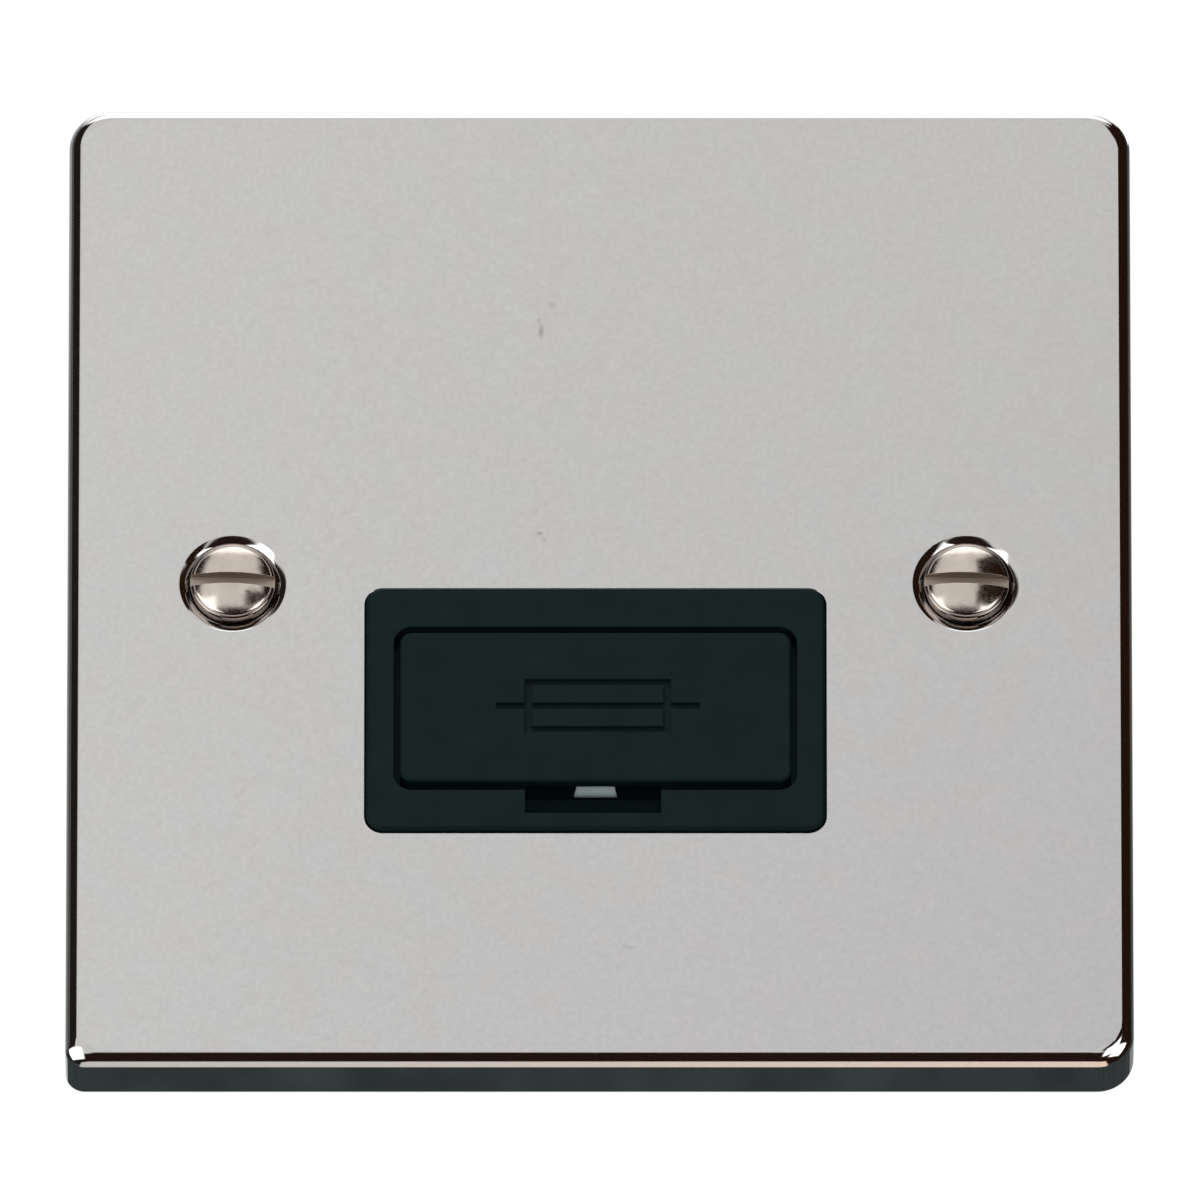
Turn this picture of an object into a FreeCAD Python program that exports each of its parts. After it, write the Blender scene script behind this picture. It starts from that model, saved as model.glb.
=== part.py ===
import FreeCAD, Part
import math
import os

# Fused spur unit, millimetres.
# Frame: the unit hangs upright on a wall. The wall plane is y = 0, -Y is the front, +X is to the right
# of someone who faces it and +Z is up. The origin is the middle of the plate in the wall plane.

# Pressed metal plate
PLATE_W = 87.6
PLATE_H = 87.6
PLATE_D = 5.4
SHEET = 1.0
PLATE_CORNER_R = 3.0
PLATE_EDGE_R = 1.0

# Fixing screws and the dishes that their heads sit in
SCREW_PITCH = 60.3
DISH_R = 3.95
DISH_LIP_R = 0.8
DISH_HOLE_R = 1.95
HEAD_R = 3.5
HEAD_RISE = 0.65
RIM_R = 0.35
RIM_PROUD = 0.15
HEAD_GAP = 0.05
NECK_R = 1.5
THREAD_R = 1.75
THREAD_START = -1.2
THREAD_L = 20.8
THREAD_BEVEL = 0.25
TIP_BEVEL = 0.5
SLOT_W = 1.0
SLOT_D = 1.1
SLOT_TILT = 1.5

# Cartridge fuse
FUSE_L = 25.4
CAP_R = 3.175
CAP_L = 6.2
CAP_WALL = 0.5
CAP_BEVEL = 0.35
CERAMIC_R = 3.0
FUSE_DEPTH = 9.9

# Well that the door closes, the chamber behind it and the notch below the door
WELL_Z = -11.67
WELL_H = 14.96
WELL_R = 1.5
LEDGE = 1.3
LEDGE_SIDE = 0.15
LEDGE_TOP = 0.2
FUSE_ROOM = 2.4
CHAMBER_WALL = 1.4
CHAMBER_R = 0.8
NOTCH_X = -0.2
NOTCH_W = 11.15
NOTCH_H = 2.1
NOTCH_D = 4.8
NOTCH_WALL = 1.2

# Front moulding: the insert that shows in the plate, and the flange behind the plate
INSERT_X = -0.34
INSERT_Z = -11.63
INSERT_SIDE = 2.27
INSERT_H = 22.1
INSERT_R = 1.4
INSERT_PROUD = 0.5
INSERT_BEVEL = 0.2
APERTURE_GAP = 0.1
FLANGE_T = 2.5
FLANGE_SIDE = 1.8
FLANGE_END = 0.5
FLANGE_R = 3.0
POST_R = 2.4
POST_DRAFT = 0.5

# Door of the carrier and the cradle behind it
DOOR_GAP = 0.5
DOOR_GAP_BELOW = 0.85
DOOR_T = 2.4
DOOR_BEVEL = 0.15
DOOR_REST = 0.1
LIP_T = 1.1
PRY_SIDE = 0.4
CRADLE_WALL = 1.3
CRADLE_GAP = 0.15
CRADLE_END_GAP = 0.3
CRADLE_DRAFT = 0.15
HOOK_L = 0.9
HOOK_BEVEL = 0.4
WEB_T = 1.6
WEB_INSET = 1.6
CHEEK_T = 0.9
CHEEK_GAP = 0.3
CHEEK_REACH = 1.6
CHEEK_TAPER_L = 2.6
CHEEK_TAPER = 2.2
WINDOW_W = 2.4
WINDOW_FLARE = 0.225
WINDOW_TOP = 1.0

# Rear housing
HOUSING_W = 45.0
HOUSING_TOP = 25.0
HOUSING_BOTTOM = -27.5
HOUSING_R = 2.5
HOUSING_BEVEL = 0.8
WALL = 1.8
RIB = 1.1
RIB_GAP = 0.15
PAD_R = 2.2
PAD_DRAFT = 0.6
DRIVER_ROOM = 0.6

# Strips, clips and the earth strap
STRIP_T = 0.7
STRIP_W = 4.8
STRIP_GAP = 0.2
STRIP_BEVEL = 1.0
LINK_H = 6.0
LINK_INSET = 1.2
LINK_BEVEL = 0.8
STRAP_H = 5.2
STRIP_INSET = 1.0
STRAP_W = 6.0
STRAP_GAP = 0.3
CLIP_W = 5.0
CLIP_GAP = 0.06
CLIP_PAST_CAP = 1.0
CLIP_FLARE = 1.0
CLIP_FLARE_L = 1.3

# Pillar terminals
TERMINAL_D = 8.3
TERMINAL_GAP = 0.3
TERMINAL_L = 11.5
TERMINAL_BEVEL = 0.5
EARTH_L = 8.2
EARTH_W = 7.9
BORE_R = 2.1
BORE_FLOOR = 1.1
CLAMP_R = 1.9
CLAMP_L = 5.8
CLAMP_GAP = 0.05
CLAMP_CLEAR = 0.2
CLAMP_BEVEL = 0.4
CLAMP_SLOT_W = 0.8
CLAMP_SLOT_D = 1.0

# Studs and nuts behind the plate
STUD_R = 1.5
STUD_INSET = 3.5
STUD_OUT = 3.2
STUD_PAST_NUT = 0.9
STUD_BEVEL = 0.3
STUD_GAP = 0.2
NUT_R = 2.75
NUT_T = 2.3
THREAD_GAP = 0.02

# Screws that hold the rear housing, and their bosses
BOSS_R = 3.7
BOSS_X = 8.0
BOSS_LIFT = 3.5
BOSS_SIDE = 0.4
BOSS_SINK = 0.8
BOSS_STEP = 1.0
BOSS_SEAT_T = 3.0
BOSS_POST_INSET = 0.9
BOSS_POST_DRAFT = 0.2
BOSS_SCREW_R = 1.4
BOSS_HEAD_R = 2.6
BOSS_HEAD_T = 1.7
BOSS_HEAD_BEVEL = 0.5
BOSS_GRIP = 6.0
BOSS_ROOM = 0.3
PILOT_PAST = 3.5
CROSS_L = 3.0
CROSS_W = 0.7
CROSS_D = 0.9

# How far a form reaches into the one it is fused with, and how far a cutter reaches past what it cuts
LAP = 0.5
OVER = 1.0

# Widths, heights and depths that follow from the sizes above
CHAMBER_W = FUSE_L + 2 * FUSE_ROOM
WELL_W = CHAMBER_W + 2 * (LEDGE + LEDGE_SIDE)
CHAMBER_H = WELL_H - 2 * (LEDGE + LEDGE_TOP)
INSERT_W = WELL_W + 2 * INSERT_SIDE
FRONT = -PLATE_D
INNER = -PLATE_D + SHEET
FACE = -PLATE_D - INSERT_PROUD
FLANGE_BACK = INNER + FLANGE_T
DOOR_BACK = FACE + DOOR_T
LEDGE_FRONT = DOOR_BACK + DOOR_REST
FUSE_Y = FACE + FUSE_DEPTH
CRADLE_W = FUSE_L - 2 * (CAP_L + CRADLE_END_GAP)
STRIP_FRONT = FUSE_Y + CAP_R + STRIP_GAP
STRIP_BACK = STRIP_FRONT + STRIP_T
CHAMBER_BACK = STRIP_FRONT - STRIP_GAP / 2
FLOOR = STRIP_BACK + TERMINAL_D
HOUSING_BACK = FLOOR + WALL
BORE_Y = STRIP_BACK + BORE_FLOOR + BORE_R
CLAMP_TIP = BORE_Y + BORE_R + CLAMP_CLEAR
CLIP_END = FUSE_L / 2 + CLIP_PAST_CAP

# Cells of the terminals, two on each side of the middle rib, and one on each side for the earths
INSIDE_W = HOUSING_W / 2 - WALL
CELL_W = (INSIDE_W - RIB / 2 - RIB) / 2
CELL_X = (RIB / 2 + CELL_W / 2, RIB * 1.5 + CELL_W * 1.5)
TERMINAL_W = CELL_W - 2 * TERMINAL_GAP
TOP_Z1 = HOUSING_TOP - WALL - TERMINAL_GAP
TOP_Z0 = TOP_Z1 - TERMINAL_L
TOP_Z = (TOP_Z0 + TOP_Z1) / 2
EARTH_X = RIB / 2 + TERMINAL_GAP + EARTH_W / 2
EARTH_Z0 = HOUSING_BOTTOM + WALL + TERMINAL_GAP
EARTH_Z1 = EARTH_Z0 + EARTH_L
EARTH_Z = (EARTH_Z0 + EARTH_Z1) / 2
TERMINALS = {
    "live_supply": (-CELL_X[1], TOP_Z),
    "neutral_supply": (-CELL_X[0], TOP_Z),
    "neutral_load": (CELL_X[0], TOP_Z),
    "live_load": (CELL_X[1], TOP_Z),
    "earth_supply": (-EARTH_X, EARTH_Z),
    "earth_load": (EARTH_X, EARTH_Z),
}

# Studs of the plate, two above the housing and one below it, and the four screws of the housing
STUD_X = HOUSING_W / 2 - STUD_INSET
STUD_TOP = HOUSING_TOP + STUD_OUT
STRAP_DROP = HOUSING_BOTTOM - STRAP_GAP
STUD_BOTTOM = STRAP_DROP - STRIP_T - NUT_R - STRAP_GAP
STUDS = ((-STUD_X, STUD_TOP), (STUD_X, STUD_TOP), (0.0, STUD_BOTTOM))
BOSS_HIGH = WELL_Z + CHAMBER_H / 2 + CHAMBER_WALL + BOSS_R + BOSS_LIFT
BOSS_LOW = HOUSING_BOTTOM + WALL + BOSS_R - BOSS_SINK
BOSS_LOW_X = INSIDE_W - BOSS_R - BOSS_SIDE
BOSSES = ((-BOSS_X, BOSS_HIGH), (BOSS_X, BOSS_HIGH), (-BOSS_LOW_X, BOSS_LOW), (BOSS_LOW_X, BOSS_LOW))
BOSS_FRONT = CHAMBER_BACK - BOSS_STEP
BOSS_SEAT = BOSS_FRONT + BOSS_SEAT_T


def block(x0, x1, y0, y1, z0, z1):
    """A box between two corners."""
    return Part.makeBox(x1 - x0, y1 - y0, z1 - z0, FreeCAD.Vector(x0, y0, z0))


def rod_x(radius, x0, x1):
    """A round bar along X on the fuse's axis."""
    return Part.makeCylinder(radius, x1 - x0, FreeCAD.Vector(x0, FUSE_Y, WELL_Z), FreeCAD.Vector(1, 0, 0))


def rod_y(x, z, radius, y0, y1):
    """A round bar along Y."""
    return Part.makeCylinder(radius, y1 - y0, FreeCAD.Vector(x, y0, z), FreeCAD.Vector(0, 1, 0))


def rod_z(x, y, radius, z0, z1):
    """A round bar along Z."""
    return Part.makeCylinder(radius, z1 - z0, FreeCAD.Vector(x, y, z0), FreeCAD.Vector(0, 0, 1))


def post_y(x, z, r_front, r_back, y0, y1):
    """A moulded post along Y with draft."""
    return Part.makeCone(r_front, r_back, y1 - y0, FreeCAD.Vector(x, y0, z), FreeCAD.Vector(0, 1, 0))


def rounded(cx, cz, width, height, radius, y0, y1):
    """A block with rounded corners in the XZ plane, from y0 to y1."""
    solid = block(cx - width / 2, cx + width / 2, y0, y1, cz - height / 2, cz + height / 2)
    uprights = [e for e in solid.Edges if abs(e.BoundBox.YLength - (y1 - y0)) < 1e-6]
    return solid.makeFillet(radius, uprights)


def edges_at(solid, y):
    """The edges of a solid that lie in the plane at y."""
    return [e for e in solid.Edges if abs(e.BoundBox.YMin - y) < 1e-6 and abs(e.BoundBox.YMax - y) < 1e-6]


def plate_xz(points, y0, y1):
    """A flat piece with a polygon outline in the XZ plane."""
    loop = [FreeCAD.Vector(x, y0, z) for x, z in points]
    return Part.Face(Part.makePolygon(loop + loop[:1])).extrude(FreeCAD.Vector(0, y1 - y0, 0))


def profile_yz(points, x0, x1):
    """A piece with a polygon section in the YZ plane, from x0 to x1."""
    loop = [FreeCAD.Vector(x0, y, z) for y, z in points]
    return Part.Face(Part.makePolygon(loop + loop[:1])).extrude(FreeCAD.Vector(x1 - x0, 0, 0))


def turned(edges, x, z):
    """A solid of revolution about the line along Y through x, z, from edges in the plane of r and y."""
    face = Part.Face(Part.Wire(edges))
    solid = face.revolve(FreeCAD.Vector(0, 0, 0), FreeCAD.Vector(0, 1, 0), 360)
    solid.translate(FreeCAD.Vector(x, 0, z))
    return solid


def lines(points):
    """Straight edges through points given as r and y."""
    ends = [FreeCAD.Vector(r, y, 0) for r, y in points]
    return [Part.makeLine(a, b) for a, b in zip(ends, ends[1:])]


def mirrored(solid):
    """The same piece on the other side of the middle plane."""
    return solid.mirror(FreeCAD.Vector(0, 0, 0), FreeCAD.Vector(1, 0, 0))


def dish_funnel(x):
    """The space inside a dish: a soft lip, a 90 degree cone and the screw's hole."""
    turn = math.radians(22.5)
    run = DISH_LIP_R * math.tan(turn)
    start = (DISH_R + run, FRONT)
    end = (DISH_R - run * math.cos(math.pi / 4), FRONT + run * math.sin(math.pi / 4))
    middle = (start[0] - DISH_LIP_R * math.sin(turn), FRONT + DISH_LIP_R * (1 - math.cos(turn)))
    lip = Part.Arc(*[FreeCAD.Vector(r, y, 0) for r, y in (start, middle, end)]).toShape()
    bottom = FRONT + DISH_R - DISH_HOLE_R
    below = lines([end, (DISH_HOLE_R, bottom), (DISH_HOLE_R, 0.0), (0.0, 0.0), (0.0, FRONT - OVER)])
    above = lines([(0.0, FRONT - OVER), (start[0], FRONT - OVER), start])
    return turned([lip] + below + above, x, 0.0)


def dish_back(x):
    """The back of a pressed dish, the sheet's thickness behind its cone."""
    reach = SHEET * math.sqrt(2)
    tip = FRONT + DISH_R - DISH_HOLE_R + reach
    base = FRONT + SHEET / 2
    outline = [(0.0, base), (DISH_R + reach - SHEET / 2, base), (DISH_HOLE_R, tip), (0.0, tip), (0.0, base)]
    return turned(lines(outline), x, 0.0)


def faceplate():
    """Pressed square pan with rolled edges, two dished holes and the opening for the insert."""
    solid = rounded(0, 0, PLATE_W, PLATE_H, PLATE_CORNER_R, FRONT, 0)
    solid = solid.makeFillet(PLATE_EDGE_R, edges_at(solid, FRONT))
    inner_w = PLATE_W - 2 * SHEET
    inner_h = PLATE_H - 2 * SHEET
    solid = solid.cut(rounded(0, 0, inner_w, inner_h, PLATE_CORNER_R - SHEET, INNER, OVER))
    for x in (-SCREW_PITCH / 2, SCREW_PITCH / 2):
        solid = solid.fuse(dish_back(x)).cut(dish_funnel(x))
    aperture_w = INSERT_W + 2 * APERTURE_GAP
    aperture_h = INSERT_H + 2 * APERTURE_GAP
    opening = rounded(INSERT_X, INSERT_Z, aperture_w, aperture_h, INSERT_R + APERTURE_GAP, FRONT - OVER, 0)
    return solid.cut(opening).removeSplitter()


def fixing_screw(x):
    """Slotted raised countersunk screw, its head in the dish and its thread behind the wall plane."""
    drop = HEAD_GAP * math.sqrt(2)
    seat = FRONT + DISH_R - HEAD_R - drop
    neck = FRONT + DISH_R - NECK_R - drop
    tip = THREAD_START + THREAD_L
    side = FRONT - RIM_PROUD
    dome_edge = FreeCAD.Vector(HEAD_R - RIM_R, side - RIM_R, 0)
    crown = FreeCAD.Vector(0, dome_edge.y - HEAD_RISE, 0)
    dome_r = (dome_edge.x ** 2 + HEAD_RISE ** 2) / (2 * HEAD_RISE)
    half = math.asin(dome_edge.x / dome_r) / 2
    midway = FreeCAD.Vector(dome_r * math.sin(half), crown.y + dome_r * (1 - math.cos(half)), 0)
    dome = Part.Arc(crown, midway, dome_edge).toShape()
    bend = RIM_R * math.sqrt(0.5)
    rim_middle = FreeCAD.Vector(dome_edge.x + bend, side - bend, 0)
    rim = Part.Arc(dome_edge, rim_middle, FreeCAD.Vector(HEAD_R, side, 0)).toShape()
    points = [
        (HEAD_R, side),
        (HEAD_R, seat),
        (NECK_R, neck),
        (NECK_R, THREAD_START),
        (THREAD_R, THREAD_START + THREAD_BEVEL),
        (THREAD_R, tip - TIP_BEVEL),
        (THREAD_R - TIP_BEVEL, tip),
        (0.0, tip),
        (0.0, crown.y),
    ]
    solid = turned([dome, rim] + lines(points), 0.0, 0.0)
    reach = HEAD_R + OVER
    slot = block(-reach, reach, crown.y - OVER, crown.y + SLOT_D, -SLOT_W / 2, SLOT_W / 2)
    slot.rotate(FreeCAD.Vector(0, 0, 0), FreeCAD.Vector(0, 1, 0), SLOT_TILT)
    solid = solid.cut(slot)
    solid.translate(FreeCAD.Vector(x, 0, 0))
    return solid


def notch(y0, y1, grow=0.0):
    """The screwdriver notch below the door, which opens into the fuse chamber."""
    top = WELL_Z - CHAMBER_H / 2 + LAP
    bottom = WELL_Z - WELL_H / 2 - NOTCH_H - grow
    half = NOTCH_W / 2 + grow
    return block(NOTCH_X - half, NOTCH_X + half, y0, y1, bottom, top)


def posts():
    """Posts of the front moulding that press on the terminals and take the housing's screws."""
    slim = POST_R - POST_DRAFT
    made = [post_y(x, z, POST_R, slim, FLANGE_BACK, STRIP_FRONT) for x, z in TERMINALS.values()]
    wide = BOSS_R - BOSS_POST_INSET
    made += [post_y(x, z, wide, wide - BOSS_POST_DRAFT, FLANGE_BACK, BOSS_FRONT) for x, z in BOSSES]
    return made


def front_moulding():
    """Insert with its fuse well and notch, the flange behind the plate and the fuse chamber's walls."""
    flange_w = HOUSING_W + 2 * FLANGE_SIDE
    top = STUD_TOP + NUT_R + FLANGE_END
    bottom = STUD_BOTTOM - NUT_R - FLANGE_END
    flange = rounded(0, (top + bottom) / 2, flange_w, top - bottom, FLANGE_R, INNER, FLANGE_BACK)
    insert = rounded(0, INSERT_Z, INSERT_W, INSERT_H, INSERT_R, FACE, FLANGE_BACK)
    insert = insert.makeChamfer(INSERT_BEVEL, edges_at(insert, FACE))
    outer_w = CHAMBER_W + 2 * CHAMBER_WALL
    outer_h = CHAMBER_H + 2 * CHAMBER_WALL
    outer_r = CHAMBER_R + CHAMBER_WALL / 2
    chamber = rounded(0, WELL_Z, outer_w, outer_h, outer_r, FLANGE_BACK, CHAMBER_BACK)
    shroud = notch(FLANGE_BACK - LAP, FACE + NOTCH_D + NOTCH_WALL, NOTCH_WALL)
    solid = flange.fuse([insert, chamber, shroud] + posts())
    solid = solid.cut(rounded(0, WELL_Z, WELL_W, WELL_H, WELL_R, FACE - OVER, LEDGE_FRONT))
    inside = rounded(0, WELL_Z, CHAMBER_W, CHAMBER_H, CHAMBER_R, FACE - OVER, CHAMBER_BACK + OVER)
    solid = solid.cut(inside).cut(notch(FACE - OVER, FACE + NOTCH_D))
    holes = [rod_y(x, z, STUD_R + STUD_GAP, INNER - OVER, FLANGE_BACK + OVER) for x, z in STUDS]
    pilot = BOSS_SEAT - BOSS_GRIP - PILOT_PAST
    holes += [rod_y(x, z, BOSS_SCREW_R + THREAD_GAP, pilot, BOSS_FRONT + OVER) for x, z in BOSSES]
    return solid.cut(holes).removeSplitter()


def cradle_window():
    """A slot in the cradle's lower wall that widens towards the back."""
    y1 = FUSE_Y + CAP_R
    half0 = WINDOW_W / 2
    half1 = half0 + WINDOW_FLARE * (y1 - DOOR_BACK) / 2
    z1 = WELL_Z - WINDOW_TOP
    z0 = WELL_Z - CERAMIC_R - CRADLE_GAP - CRADLE_WALL - LAP
    corners = ((-half0, DOOR_BACK), (half0, DOOR_BACK), (half1, y1), (-half1, y1))
    loop = [FreeCAD.Vector(x, y, z0) for x, y in corners]
    return Part.Face(Part.makePolygon(loop + loop[:1])).extrude(FreeCAD.Vector(0, 0, z1 - z0))


def cradle_arms(inner, outer):
    """Upper and lower jaw of the cradle, each with a hook that snaps over the fuse."""
    hook_y = FUSE_Y + CERAMIC_R * 0.55
    end_y = hook_y + HOOK_L
    root_y = DOOR_BACK - LAP
    half = CRADLE_W / 2
    arm = [
        (root_y, outer),
        (end_y - HOOK_BEVEL, outer - CRADLE_DRAFT),
        (end_y, outer - CRADLE_DRAFT - HOOK_BEVEL),
        (end_y, CERAMIC_R * 0.96),
        (hook_y, CERAMIC_R * 0.9),
        (FUSE_Y + CERAMIC_R * 0.3, inner),
        (root_y, inner),
    ]
    return [profile_yz([(y, WELL_Z + side * z) for y, z in arm], -half, half) for side in (1, -1)]


def guide_cheeks():
    """Two cheeks that guide the carrier in the chamber and stand at the fuse's ends."""
    outside = CHAMBER_W / 2 - CHEEK_GAP
    tall = CHAMBER_H / 2 - CHEEK_GAP
    end_y = FUSE_Y + CHEEK_REACH
    root_y = DOOR_BACK - LAP
    cheek = [
        (root_y, -tall),
        (end_y - CHEEK_TAPER_L, -tall),
        (end_y, CHEEK_TAPER - tall),
        (end_y, tall - CHEEK_TAPER),
        (end_y - CHEEK_TAPER_L, tall),
        (root_y, tall),
    ]
    right = profile_yz([(y, WELL_Z + z) for y, z in cheek], outside - CHEEK_T, outside)
    return [right, mirrored(right)]


def fuse_carrier():
    """Door with a thin pry lip, and the cradle that grips the fuse by its ceramic."""
    door_w = WELL_W - 2 * DOOR_GAP
    door_h = WELL_H - DOOR_GAP - DOOR_GAP_BELOW
    door_z = WELL_Z + (DOOR_GAP_BELOW - DOOR_GAP) / 2
    door = rounded(0, door_z, door_w, door_h, WELL_R - DOOR_GAP, FACE, DOOR_BACK)
    door = door.makeChamfer(DOOR_BEVEL, edges_at(door, FACE))
    inner = CERAMIC_R + CRADLE_GAP
    outer = inner + CRADLE_WALL
    half = CRADLE_W / 2
    web_x = half - WEB_INSET
    webs = [
        block(x - WEB_T / 2, x + WEB_T / 2, DOOR_BACK - LAP, FUSE_Y, WELL_Z - inner, WELL_Z + inner)
        for x in (-web_x, web_x)
    ]
    solid = door.fuse(cradle_arms(inner, outer) + webs + guide_cheeks())
    room = block(-half, half, DOOR_BACK, FUSE_Y, WELL_Z - inner, WELL_Z + inner)
    saddle = rod_x(inner, -FUSE_L / 2, FUSE_L / 2).common(room)
    pry_half = NOTCH_W / 2 + PRY_SIDE
    pry_x0 = NOTCH_X - pry_half
    pry_x1 = NOTCH_X + pry_half
    undercut = block(pry_x0, pry_x1, FACE + LIP_T, DOOR_BACK, WELL_Z - door_h, WELL_Z - outer)
    return solid.cut([saddle, undercut, cradle_window()])


def fuse_ceramic():
    """The fuse's ceramic tube, closed by its caps."""
    return rod_x(CERAMIC_R, CAP_WALL - FUSE_L / 2, FUSE_L / 2 - CAP_WALL)


def fuse_cap():
    """A plated cup pushed on to one end of the ceramic."""
    end = FUSE_L / 2
    cap = rod_x(CAP_R, end - CAP_L, end)
    cap = cap.makeChamfer(CAP_BEVEL, [e for e in cap.Edges if abs(e.BoundBox.XMin - end) < 1e-6])
    return cap.cut(rod_x(CERAMIC_R, end - CAP_L - OVER, end - CAP_WALL))


def fuse_clip():
    """Sprung jaws round a fuse cap, in one piece with the strip that runs up to the live terminal."""
    jaw = CAP_R + CLIP_GAP
    reach = jaw + STRIP_T
    mouth = FUSE_Y - CAP_R * 0.75
    flare = [
        (STRIP_BACK, -reach),
        (mouth, -reach),
        (mouth - CLIP_FLARE_L, -reach - CLIP_FLARE),
        (mouth - CLIP_FLARE_L, -jaw - CLIP_FLARE),
        (mouth, -jaw),
        (STRIP_FRONT, -jaw),
    ]
    section = flare + [(y, -z) for y, z in reversed(flare)]
    x0 = CLIP_END - CLIP_W
    clip = profile_yz([(y, WELL_Z + z) for y, z in section], x0, CLIP_END)
    left = CELL_X[1] - STRIP_W / 2
    right = CELL_X[1] + STRIP_W / 2
    top = TOP_Z1 - STRIP_INSET
    strip = [
        (x0, WELL_Z - reach),
        (right - STRIP_BEVEL, WELL_Z - reach),
        (right, WELL_Z - reach + STRIP_BEVEL),
        (right, top),
        (left, top),
        (left, WELL_Z + reach),
        (x0, WELL_Z + reach),
    ]
    return clip.fuse(plate_xz(strip, STRIP_FRONT, STRIP_BACK)).removeSplitter()


def neutral_link():
    """Flat brass strip that joins the two neutral terminals."""
    reach = CELL_X[0] + TERMINAL_W / 2 - LINK_INSET
    solid = block(-reach, reach, STRIP_FRONT, STRIP_BACK, TOP_Z - LINK_H / 2, TOP_Z + LINK_H / 2)
    corners = [e for e in solid.Edges if abs(e.BoundBox.YLength - STRIP_T) < 1e-6]
    return solid.makeChamfer(LINK_BEVEL, corners)


def earth_strap():
    """Brass strap under both earth terminals, bent forward and down to a stud of the plate."""
    reach = EARTH_X + EARTH_W / 2 - STRIP_INSET
    under = block(-reach, reach, STRIP_FRONT, STRIP_BACK, EARTH_Z - STRAP_H / 2, EARTH_Z + STRAP_H / 2)
    foot_end = STUD_BOTTOM - NUT_R + STRAP_GAP
    path = [
        (STRIP_BACK, EARTH_Z),
        (STRIP_BACK, STRAP_DROP - STRIP_T),
        (FLANGE_BACK + STRIP_T, STRAP_DROP - STRIP_T),
        (FLANGE_BACK + STRIP_T, foot_end),
        (FLANGE_BACK, foot_end),
        (FLANGE_BACK, STRAP_DROP),
        (STRIP_FRONT, STRAP_DROP),
        (STRIP_FRONT, EARTH_Z),
    ]
    tail = profile_yz(path, -STRAP_W / 2, STRAP_W / 2)
    hole = rod_y(0, STUD_BOTTOM, STUD_R + STUD_GAP, FLANGE_BACK - OVER, FLANGE_BACK + STRIP_T + OVER)
    return under.fuse(tail).cut(hole).removeSplitter()


def terminal(x, z, width, length):
    """Brass pillar terminal: a conductor bore along Z and a clamping screw's hole from the back."""
    solid = block(x - width / 2, x + width / 2, STRIP_BACK, FLOOR, z - length / 2, z + length / 2)
    solid = solid.makeChamfer(TERMINAL_BEVEL, [e for e in solid.Edges if e.BoundBox.ZLength > length - 1e-6])
    bore = rod_z(x, BORE_Y, BORE_R, z - length, z + length)
    return solid.cut([bore, rod_y(x, z, CLAMP_R + CLAMP_GAP, BORE_Y, FLOOR + OVER)])


def terminal_screw(x, z):
    """Headless slotted clamping screw, backed clear of the bore."""
    end = CLAMP_TIP + CLAMP_L
    side = CLAMP_R + OVER
    half = CLAMP_SLOT_W / 2
    solid = rod_y(x, z, CLAMP_R, CLAMP_TIP, end)
    solid = solid.makeChamfer(CLAMP_BEVEL, edges_at(solid, CLAMP_TIP))
    return solid.cut(block(x - side, x + side, end - CLAMP_SLOT_D, end + OVER, z - half, z + half))


def housing_ribs():
    """Ribs that stand on the housing's floor and hold the terminals."""
    y0 = STRIP_BACK + RIB_GAP
    y1 = FLOOR + LAP
    top = HOUSING_TOP - WALL + LAP
    low = TOP_Z0 - TERMINAL_GAP
    ribs = [block(-INSIDE_W - LAP, INSIDE_W + LAP, y0, y1, low - RIB, low)]
    for x in (-CELL_W - RIB, 0.0, CELL_W + RIB):
        ribs.append(block(x - RIB / 2, x + RIB / 2, y0, y1, low - RIB, top))
    bottom = HOUSING_BOTTOM + WALL - LAP
    high = EARTH_Z1 + TERMINAL_GAP
    side = EARTH_X + EARTH_W / 2 + TERMINAL_GAP + RIB / 2
    ribs.append(block(-side - RIB / 2, side + RIB / 2, y0, y1, high, high + RIB))
    for x in (-side, 0.0, side):
        ribs.append(block(x - RIB / 2, x + RIB / 2, y0, y1, bottom, high + RIB))
    return ribs


def housing_holes():
    """Holes of the rear housing for its screws, the terminals' screws, the conductors and the strap."""
    cuts = []
    for x, z in BOSSES:
        cuts.append(rod_y(x, z, BOSS_SCREW_R + BOSS_ROOM, BOSS_FRONT - OVER, HOUSING_BACK + OVER))
        cuts.append(rod_y(x, z, BOSS_HEAD_R + BOSS_ROOM, BOSS_SEAT, HOUSING_BACK + OVER))
    for x, z in TERMINALS.values():
        cuts.append(rod_y(x, z, CLAMP_R + DRIVER_ROOM, FLOOR - LAP, HOUSING_BACK + OVER))
        wall = HOUSING_TOP if z > 0 else HOUSING_BOTTOM
        cuts.append(rod_z(x, BORE_Y, BORE_R + DRIVER_ROOM, wall - WALL - RIB_GAP, wall + WALL + RIB_GAP))
    half = STRAP_W / 2 + STRAP_GAP
    outside = HOUSING_BOTTOM - OVER
    front = STRIP_FRONT - RIB_GAP
    cuts.append(block(-half, half, front, STRIP_BACK + RIB_GAP, outside, outside + OVER + WALL + OVER))
    return cuts


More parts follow.
